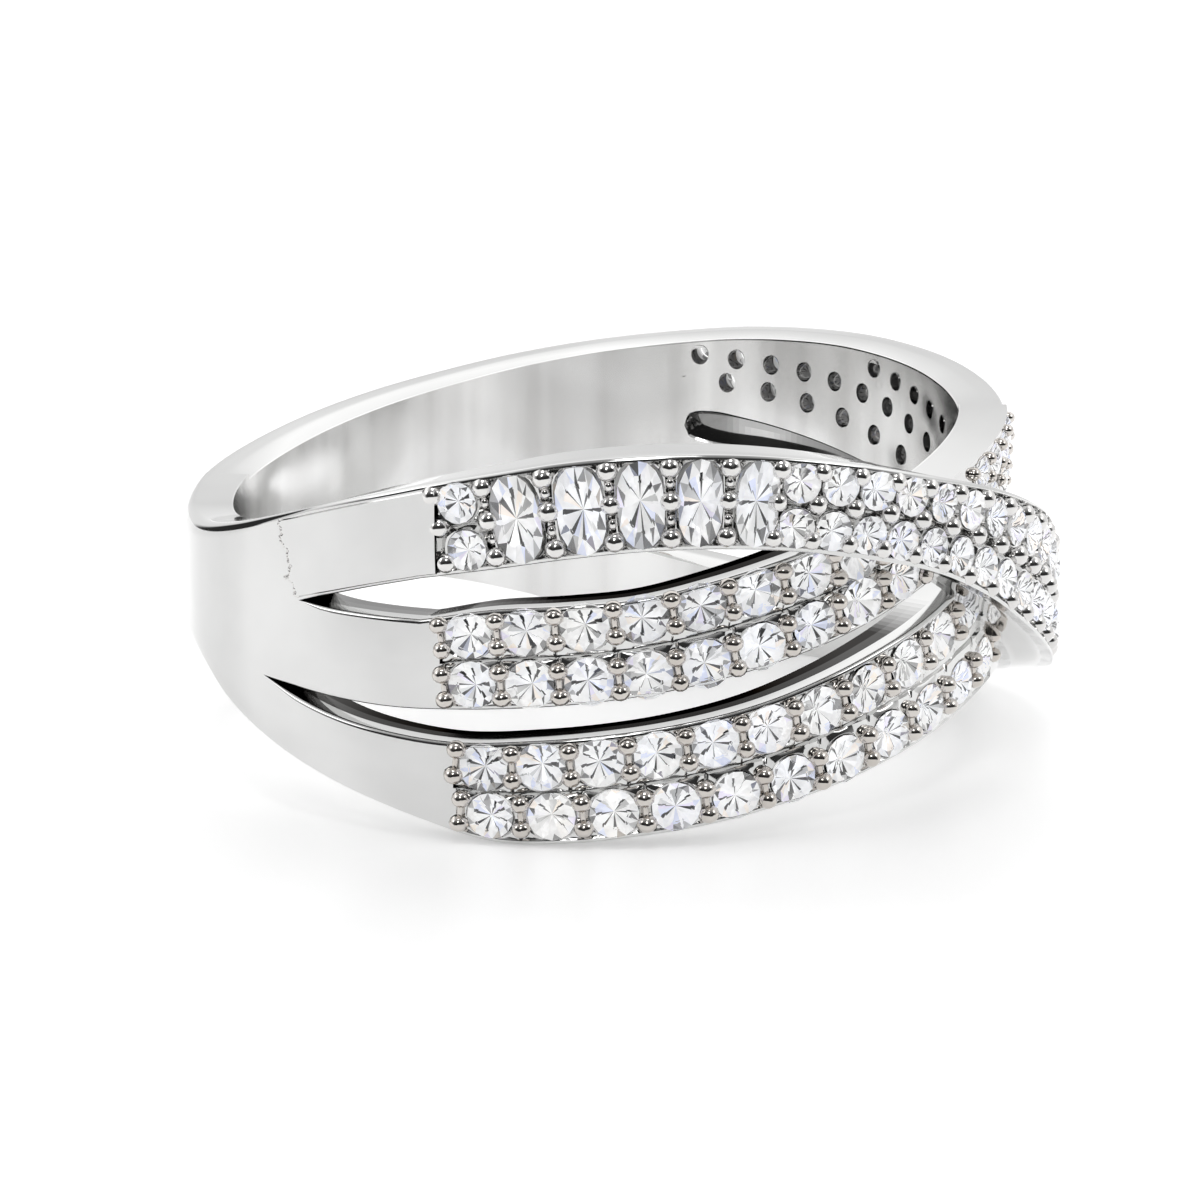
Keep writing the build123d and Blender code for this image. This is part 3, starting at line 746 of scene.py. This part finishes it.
def set_stones(node):
    """Every stone of a node in one mesh, each turned and tipped a little by chance, with painted sparkle on its facets.

    A long stone's girdle has straight sides and round ends, and its middle is stretched evenly:
    y' = r y + s (k clip(2.6 y, -1, 1) + (1 - k) y) with k the fourth power of the distance from the middle.
    """
    mesh = Mesh()
    points, crown, outer, wide, narrow = brilliant()
    groups = (crown, outer, wide, narrow)
    faces = [face for group in groups for face in group]
    kinds = np.concatenate([np.full(len(group), kind) for kind, group in enumerate(groups)])
    order = [k for size in (3, 4, 8) for k in range(len(faces)) if len(faces[k]) == size]
    painted_light = []
    out = STRAIGHT * np.hypot(points[:, 0], points[:, 1]) ** 4
    for strip, row in BEADS:
        if row.node != node:
            continue
        stones = row.stones
        here, along, across, outward = stone_frames(strip, stones)
        spin = chance.uniform(0, 2 * math.pi, len(stones)) if node != "ovals" else np.zeros(len(stones))
        tip = chance.normal(0, TILT, (2, len(stones)))
        for k in range(len(stones)):
            c, s = math.cos(spin[k]), math.sin(spin[k])
            cut = points.copy()
            cut[PAVILION] += chance.normal(0, CUT_CHANCE, (len(points) - PAVILION.start, 3)) * (1, 1, 0.5)
            x = cut[:, 0] * c - cut[:, 1] * s
            y = cut[:, 0] * s + cut[:, 1] * c
            width = stones["along"][k]
            z = cut[:, 2] * width + width * (tip[0, k] * x + tip[1, k] * y) + STONE_LIFT
            straight = stones["across"][k] - width
            stretch = straight * (out * np.clip(2.6 * y, -1, 1) + (1 - out) * y)
            local = np.stack([x * width, y * width + stretch, z], 1)
            placed_points = here[k] + local[:, :1] * along[k] + local[:, 1:2] * across[k] + local[:, 2:] * outward[k]
            start = mesh.total
            mesh.points.append(placed_points)
            mesh.painted_light.append(np.zeros(len(faces)))
            mesh.total += len(placed_points)
            for size in (3, 4, 8):
                chosen = [f for f in faces if len(f) == size]
                mesh.faces.append(np.array(chosen) + start)
            painted_light.append(painted_facet_sparkle(kinds[order]))
    made = mesh.made(node_piece[node])
    # Painted sparkle: each facet's painted brightness and tint of fire, stored for the back material
    tone = np.concatenate(painted_light)
    layer = made.data.attributes.new("tone", "FLOAT_COLOR", "FACE")
    layer.data.foreach_set("color", tone.ravel())
    crown_faces = np.concatenate([kinds[order] == CROWN for _ in painted_light])
    made.data.polygons.foreach_set("material_index", np.where(crown_faces, 0, 1).astype(np.int32))
    return made


CROWN, OUTER, WIDE, NARROW = 0, 1, 2, 3
PAINTED_FIRE = np.array([[1.0, 1.0, 1.0], [0.80, 0.84, 1.0], [1.0, 0.92, 0.84], [0.90, 0.86, 1.0]])
PAINTED_FIRE_SHARES = (0.86, 0.06, 0.04, 0.04)


def painted_facet_sparkle(kinds):
    """Painted sparkle: brightness of each facet by its kind, with some chance, and a painted tint of fire on a few."""
    dark = chance.uniform(0, 1, len(kinds)) < np.array([0.0, 0.24, 0.08, 0.86])[kinds]
    bright = chance.uniform(np.array([1.0, 0.86, 0.92, 0.60])[kinds], 1.0)
    dim = chance.uniform(np.array([1.0, 0.08, 0.35, 0.01])[kinds], np.array([1.0, 0.55, 0.70, 0.16])[kinds])
    tone = np.where(dark, dim, bright)
    tint = PAINTED_FIRE[chance.choice(len(PAINTED_FIRE), len(kinds), p=PAINTED_FIRE_SHARES)]
    return np.concatenate([tone[:, None] * tint, np.ones((len(kinds), 1))], 1)


node_piece = {
    "over_arm_stones": "over_arm_brilliants",
    "middle_arm_stones": "middle_arm_brilliants",
    "lower_arm_stones": "lower_arm_brilliants",
    "far_middle_arm_stones": "far_middle_arm_brilliants",
    "ovals": "oval_brilliants",
}
stone_pieces = {node: set_stones(node) for node in node_piece}

# Beads that hold the stones


def bead_shape(rows, sides):
    """A ball of radius 1: (sin b cos a, sin b sin a, cos b)."""
    b = np.linspace(0.06, math.pi * 0.72, rows)[:, None]
    a = np.linspace(0, 2 * math.pi, sides, endpoint=False)[None, :]
    return np.stack([np.sin(b) * np.cos(a), np.sin(b) * np.sin(a), np.cos(b) + 0 * a], -1)


def bead_places(strip, row):
    """Between each two stones, and at both ends of a row: the angles."""
    stones = row.stones
    angles = stones["angle"]
    half = np.diff(angles) / 2 if len(angles) > 1 else np.array([3.5])
    middle = np.concatenate([[angles[0] - half[0]], (angles[1:] + angles[:-1]) / 2 if len(angles) > 1 else [],
                             [angles[-1] + half[-1]]])
    return middle


over_beads, under_beads = Mesh(), Mesh()
shape = bead_shape(6, 12)


def add_beads(beads, strip, angle, height, along, across, rise):
    places = np.zeros(len(angle), STONE)
    places["angle"], places["height"] = angle, height
    here, t, b, n = stone_frames(strip, places)
    size = along[:, None, None]
    tall = across[:, None, None]
    points = here[:, None, None] + shape[None, ..., :1] * size[..., None] * t[:, None, None] \
        + shape[None, ..., 1:2] * tall[..., None] * b[:, None, None] \
        + (shape[None, ..., 2:] * size[..., None] + rise) * n[:, None, None]
    beads.grid(points, close=True)
    for bead in points:
        beads.add(bead[0], np.arange(shape.shape[1])[None, :])


for strip, row in BEADS:
    if row.beads != "two":
        continue
    middle = bead_places(strip, row)
    stones = row.stones
    centre = np.interp(middle, stones["angle"], stones["height"])
    slope = strip.slope(middle)
    centre = np.where(middle < stones["angle"][0],
                      stones["height"][0] - slope * np.radians(stones["angle"][0] - middle) * BAND_RADIUS, centre)
    centre = np.where(middle > stones["angle"][-1],
                      stones["height"][-1] + slope * np.radians(middle - stones["angle"][-1]) * BAND_RADIUS, centre)
    width = np.interp(middle, stones["angle"], stones["across"]) * 2
    for side in (-1, 1):
        lean = -side * 0.27 * width * slope / (1 + slope ** 2)
        angle = middle + np.degrees(lean / BAND_RADIUS)
        height = centre + side * 0.27 * width / (1 + slope ** 2)
        jitter = 1 + np.clip(0.05 * chance.normal(0, 1, len(middle)), -0.08, 0.06)
        add_beads(under_beads, strip, angle, height, 0.212 * width * jitter, 0.192 * width, 0.02)
    # the little bar between the two beads of a gap
    add_beads(under_beads, strip, middle, centre, 0.07 * width, 0.24 * width, -0.02)

over_strip = strips[2]
gaps = [-97.3, -90.2]
gaps += list((OVAL_ANGLES[1:] + OVAL_ANGLES[:-1]) / 2) + [-53.1]
gaps += list(PAIR_ANGLES[:-1] + 5.15 / 2) + [50.6]
gaps += list(-(OVAL_ANGLES[1:] + OVAL_ANGLES[:-1])[::-1] / 2 - 0.3) + [89.6]
gaps = np.array(gaps)
slope = over_slope(gaps)
for share in (-0.385, 0.02, 0.385):
    width = over_high(gaps) - over_low(gaps)
    reach = np.clip(share * width, 0.29 - width / 2, width / 2 - 0.29) / (1 + slope ** 2)
    angle = gaps - np.degrees(reach * slope / over_outer(gaps))
    height = over_height(gaps) + reach
    size = 0.272 + 0.005 * chance.normal(0, 1, len(gaps))
    add_beads(over_beads, over_strip, angle, height, size, size * 0.96, -0.138)
# small claws between the beads beside the long stones
long_gaps = gaps[((gaps > -90.5) & (gaps < -53)) | ((gaps > 50.5) & (gaps < 90))]
slope = over_slope(long_gaps)
for share in (-0.18, 0.21):
    reach = share * (over_high(long_gaps) - over_low(long_gaps)) / (1 + slope ** 2)
    angle = long_gaps - np.degrees(reach * slope / over_outer(long_gaps))
    size = np.full(len(long_gaps), 0.12)
    add_beads(over_beads, over_strip, angle, over_height(long_gaps) + reach, size, size * 1.2, -0.12)

# Crumbs of metal along the rough seam
CRUMBS = 170
share = chance.uniform(0.02, 0.98, CRUMBS)
angle = seam_angle(share) + chance.normal(0, 0.24, CRUMBS)
height = over_low(angle) + 0.06 + (over_high(angle) - over_low(angle) - 0.19) * share
size = chance.uniform(0.025, 0.060, CRUMBS)
add_beads(over_beads, over_strip, angle, height, size, size * 1.2, 0.03)
over_arm_beads = over_beads.made("over_arm_beads", 60)
under_arm_beads = under_beads.made("under_arm_beads", 60)

# Materials


def material(name, metallic=0.0, roughness=0.1, ior=1.5, transmission=0.0):
    made = bpy.data.materials.new(name)
    made.use_nodes = True
    shader = made.node_tree.nodes["Principled BSDF"]
    shader.inputs["Metallic"].default_value = metallic
    shader.inputs["Roughness"].default_value = roughness
    shader.inputs["IOR"].default_value = ior
    shader.inputs["Transmission Weight"].default_value = transmission
    return made, made.node_tree, shader


def noise(tree, scale, detail, coordinates):
    node = tree.nodes.new("ShaderNodeTexNoise")
    node.inputs["Scale"].default_value = scale
    node.inputs["Detail"].default_value = detail
    tree.links.new(coordinates.outputs["Object"], node.inputs["Vector"])
    return node


def ramp(tree, source, low, high, start=0.3, end=0.7):
    node = tree.nodes.new("ShaderNodeValToRGB")
    node.color_ramp.elements[0].position, node.color_ramp.elements[1].position = start, end
    node.color_ramp.elements[0].color, node.color_ramp.elements[1].color = low, high
    tree.links.new(source, node.inputs["Fac"])
    return node


SATIN_ROUGHNESS = 0.15
# Near-black colour of the painted shade, used in the base colour and the specular tint
PAINTED_SHADE_COLOUR = (0.045, 0.043, 0.042, 1)


def polished_metal(name, low, high, rough_low, rough_high, satin_within=None):
    """Polished metal: cloudy changes of tone and gloss, very low polishing waves, and a satin finger wall with painted
    reflection streaks. Faces marked in the recess attribute get painted shade.
    """
    made, tree, shader = material(name, metallic=1.0)
    where = tree.nodes.new("ShaderNodeTexCoord")
    cloud = noise(tree, 260, 4, where)
    tone = ramp(tree, cloud.outputs["Fac"], (*low, 1), (*high, 1))
    tree.links.new(tone.outputs["Color"], shader.inputs["Base Color"])
    fine = noise(tree, 2400, 5, where)
    gloss = ramp(tree, fine.outputs["Fac"], (rough_low,) * 3 + (1,), (rough_high,) * 3 + (1,))
    if satin_within is None:
        tree.links.new(gloss.outputs["Color"], shader.inputs["Roughness"])
    else:
        flat = tree.nodes.new("ShaderNodeVectorMath")
        flat.operation = "MULTIPLY"
        flat.inputs[1].default_value = (1, 1, 0)
        tree.links.new(where.outputs["Object"], flat.inputs[0])
        reach = tree.nodes.new("ShaderNodeVectorMath")
        reach.operation = "LENGTH"
        tree.links.new(flat.outputs["Vector"], reach.inputs[0])
        satin = tree.nodes.new("ShaderNodeMapRange")
        satin.inputs["From Min"].default_value = satin_within
        satin.inputs["From Max"].default_value = satin_within + 0.04 * MM
        satin.inputs["To Min"].default_value = 1.0
        satin.inputs["To Max"].default_value = 0.0
        tree.links.new(reach.outputs["Value"], satin.inputs["Value"])
        rougher = tree.nodes.new("ShaderNodeMixRGB")
        tree.links.new(satin.outputs["Result"], rougher.inputs["Fac"])
        tree.links.new(gloss.outputs["Color"], rougher.inputs["Color1"])
        rougher.inputs["Color2"].default_value = (SATIN_ROUGHNESS,) * 3 + (1,)
        tree.links.new(rougher.outputs["Color"], shader.inputs["Roughness"])
        # Painted reflection streaks: the satin finger wall's colour is lighter than the rest and runs in light and dark
        # bands along the ring's axis, standing in for its streaky reflections; its higher roughness is real
        streak = tree.nodes.new("ShaderNodeTexNoise")
        streak.inputs["Scale"].default_value = 620
        streak.inputs["Detail"].default_value = 3
        tree.links.new(flat.outputs["Vector"], streak.inputs["Vector"])
        shade = ramp(tree, streak.outputs["Fac"], (0.72, 0.715, 0.71, 1), (0.94, 0.94, 0.935, 1), 0.32, 0.62)
        streaked = tree.nodes.new("ShaderNodeMixRGB")
        tree.links.new(satin.outputs["Result"], streaked.inputs["Fac"])
        tree.links.new(tone.outputs["Color"], streaked.inputs["Color1"])
        tree.links.new(shade.outputs["Color"], streaked.inputs["Color2"])
        # Painted shade: faces marked in the attribute get a near-black base colour and specular tint
        recess = tree.nodes.new("ShaderNodeAttribute")
        recess.attribute_name = "recess"
        shaded = tree.nodes.new("ShaderNodeMixRGB")
        shaded.inputs["Color2"].default_value = PAINTED_SHADE_COLOUR
        tree.links.new(recess.outputs["Fac"], shaded.inputs["Fac"])
        tree.links.new(streaked.outputs["Color"], shaded.inputs["Color1"])
        tree.links.new(shaded.outputs["Color"], shader.inputs["Base Color"])
        painted_shade_gloss = tree.nodes.new("ShaderNodeMixRGB")
        painted_shade_gloss.inputs["Color1"].default_value = (1, 1, 1, 1)
        painted_shade_gloss.inputs["Color2"].default_value = PAINTED_SHADE_COLOUR
        tree.links.new(recess.outputs["Fac"], painted_shade_gloss.inputs["Fac"])
        tree.links.new(painted_shade_gloss.outputs["Color"], shader.inputs["Specular Tint"])
    wave = noise(tree, 420, 2, where)
    bump = tree.nodes.new("ShaderNodeBump")
    bump.inputs["Strength"].default_value = 0.04
    bump.inputs["Distance"].default_value = 0.00006
    tree.links.new(wave.outputs["Fac"], bump.inputs["Height"])
    tree.links.new(bump.outputs["Normal"], shader.inputs["Normal"])
    return made


silver = polished_metal("polished_silver", (0.68, 0.68, 0.675), (0.74, 0.74, 0.735), 0.05, 0.10,
                        (FINGER_RADIUS + 0.01) * MM)
bead_silver = polished_metal("bead_silver", (0.70, 0.69, 0.68), (0.80, 0.79, 0.78), 0.03, 0.06)
# Painted shade: the under arms' beads get a darker, browner copy of the bead silver
painted_shade_bead_silver = polished_metal("bead_silver_with_painted_shade", (0.55, 0.51, 0.47), (0.72, 0.69, 0.66), 0.04, 0.08)

stone_material, tree, shader = material("clear_stone", roughness=0.0, ior=1.55, transmission=1.0)
where = tree.nodes.new("ShaderNodeTexCoord")
tint = noise(tree, 900, 1, where)
colour = ramp(tree, tint.outputs["Fac"], (0.93, 0.95, 1.0, 1), (1.0, 1.0, 0.99, 1), 0.35, 0.6)
tree.links.new(colour.outputs["Color"], shader.inputs["Base Color"])

# Painted sparkle: the pavilion's facets take their painted brightness, dark spokes and fire tints from the tone
# attribute, as colour and as a glow of strength 0.42
stone_back_painted_sparkle, tree, shader = material("stone_back_painted_sparkle", metallic=0.3, roughness=0.12)
facets = tree.nodes.new("ShaderNodeAttribute")
facets.attribute_name = "tone"
tree.links.new(facets.outputs["Color"], shader.inputs["Base Color"])
tree.links.new(facets.outputs["Color"], shader.inputs["Emission Color"])
shader.inputs["Emission Strength"].default_value = 0.42

ring_metal.data.materials.append(silver)
over_arm_beads.data.materials.append(bead_silver)
under_arm_beads.data.materials.append(painted_shade_bead_silver)
for piece in stone_pieces.values():
    piece.data.materials.append(stone_material)
    piece.data.materials.append(stone_back_painted_sparkle)

for piece in (ring_metal, over_arm_beads, under_arm_beads):
    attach(piece, "root")
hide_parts("ring_band")
for node, piece in stone_pieces.items():
    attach(piece, "root")
    if node == "ovals":
        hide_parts(*[f"oval_stone_{number:02d}" for number in range(1, 11)])
    else:
        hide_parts(node)

# Floor, light and camera

bpy.context.scene.view_settings.view_transform = "Standard"

floor_data = bpy.data.meshes.new("floor")
half = 1.5
level = float(cad_box[0][2]) - 0.00001
floor_data.from_pydata([(-half, -half, level), (half, -half, level), (half, half, level), (-half, half, level)],
                       [], [(0, 1, 2, 3)])
floor = bpy.data.objects.new("floor", floor_data)
bpy.context.collection.objects.link(floor)
floor_material, tree, shader = material("pale_floor", roughness=0.35)
where = tree.nodes.new("ShaderNodeTexCoord")
paper = noise(tree, 300, 3, where)
tone = ramp(tree, paper.outputs["Fac"], (0.90, 0.90, 0.90, 1), (0.94, 0.94, 0.94, 1))
tree.links.new(tone.outputs["Color"], shader.inputs["Base Color"])
shader.inputs["Emission Color"].default_value = (1, 1, 1, 1)
shader.inputs["Emission Strength"].default_value = 0.28
floor_data.materials.append(floor_material)

world = bpy.data.worlds.new("studio")
bpy.context.scene.world = world
world.use_nodes = True
nodes, links = world.node_tree.nodes, world.node_tree.links
background = nodes["Background"]
where = nodes.new("ShaderNodeTexCoord")
split = nodes.new("ShaderNodeSeparateXYZ")
links.new(where.outputs["Generated"], split.inputs["Vector"])
CAMERA_AZIMUTH, CAMERA_ELEVATION, CAMERA_DISTANCE = -76.0, 13.8, 0.148
a, e = math.radians(CAMERA_AZIMUTH), math.radians(CAMERA_ELEVATION)
back = Vector((math.sin(a) * math.cos(e), -math.cos(a) * math.cos(e), math.sin(e)))
right = Vector((math.cos(a), math.sin(a), 0))


def sky_ramp(stops):
    """Light by height above the horizon: stops are (sine of the elevation, brightness)."""
    node = nodes.new("ShaderNodeValToRGB")
    while len(node.color_ramp.elements) > 1:
        node.color_ramp.elements.remove(node.color_ramp.elements[0])
    for index, (sine, value) in enumerate(stops):
        place = (sine + 1) / 2
        element = node.color_ramp.elements[0] if index == 0 else node.color_ramp.elements.new(place)
        element.position = place
        element.color = (value, value, value, 1)
    links.new(remap.outputs["Result"], node.inputs["Fac"])
    return node


remap = nodes.new("ShaderNodeMapRange")
remap.inputs["From Min"].default_value = -1.0
links.new(split.outputs["Z"], remap.inputs["Value"])
front_sky = sky_ramp([(-1.0, 0.9), (-0.03, 0.8), (0.0, 0.03), (0.46, 0.04), (0.64, 0.16), (0.84, 0.30), (1.0, 0.36)])
rear_sky = sky_ramp([(-1.0, 0.9), (0.0, 0.95), (0.24, 0.83), (0.42, 1.00), (0.60, 1.35), (0.78, 1.25), (0.90, 0.50),
                     (1.0, 0.36)])
side = nodes.new("ShaderNodeVectorMath")
side.operation = "DOT_PRODUCT"
side.inputs[1].default_value = (math.sin(a), -math.cos(a), 0)
links.new(where.outputs["Generated"], side.inputs[0])
front = nodes.new("ShaderNodeMapRange")
front.interpolation_type = "SMOOTHSTEP"
front.inputs["From Min"].default_value, front.inputs["From Max"].default_value = -0.15, 0.45
links.new(side.outputs["Value"], front.inputs["Value"])
mix = nodes.new("ShaderNodeMixRGB")
links.new(front.outputs["Result"], mix.inputs["Fac"])
links.new(rear_sky.outputs["Color"], mix.inputs["Color1"])
links.new(front_sky.outputs["Color"], mix.inputs["Color2"])
sky = mix.outputs["Color"]


def softbox(azimuth, elevation, reach, brightness):
    """A soft round light or a dark card in the sky, within reach degrees of its direction, fading a third further."""
    turn, rise = math.radians(azimuth), math.radians(elevation)
    towards = nodes.new("ShaderNodeVectorMath")
    towards.operation = "DOT_PRODUCT"
    towards.inputs[1].default_value = (math.sin(turn) * math.cos(rise), -math.cos(turn) * math.cos(rise), math.sin(rise))
    links.new(where.outputs["Generated"], towards.inputs[0])
    fade = nodes.new("ShaderNodeMapRange")
    fade.interpolation_type = "SMOOTHSTEP"
    fade.inputs["From Min"].default_value = math.cos(math.radians(1.35 * reach))
    fade.inputs["From Max"].default_value = math.cos(math.radians(reach))
    links.new(towards.outputs["Value"], fade.inputs["Value"])
    placed_light = nodes.new("ShaderNodeMixRGB")
    links.new(fade.outputs["Result"], placed_light.inputs["Fac"])
    links.new(sky, placed_light.inputs["Color1"])
    placed_light.inputs["Color2"].default_value = (brightness,) * 3 + (1,)
    return placed_light.outputs["Color"]


sky = softbox(CAMERA_AZIMUTH - 6, 46, 7, 5.0)
sky = softbox(CAMERA_AZIMUTH + 75, 40, 9, 3.0)
sky = softbox(CAMERA_AZIMUTH - 80, 35, 9, 2.5)
sky = softbox(CAMERA_AZIMUTH, 84, 9, 5.0)
sky = softbox(CAMERA_AZIMUTH - 134, 6, 17, 0.03)
links.new(sky, background.inputs["Color"])
background.inputs["Strength"].default_value = 1.0


camera_data = bpy.data.cameras.new("camera")
camera_data.sensor_width = 36.0
camera_data.lens = 185.15
camera_data.shift_x, camera_data.shift_y = 0.0039, -0.0356
camera_data.clip_start, camera_data.clip_end = 0.005, 10
camera = bpy.data.objects.new("camera", camera_data)
camera.location = back * CAMERA_DISTANCE
camera.rotation_euler = (-back).to_track_quat("-Z", "Y").to_euler()
bpy.context.collection.objects.link(camera)
bpy.context.scene.camera = camera
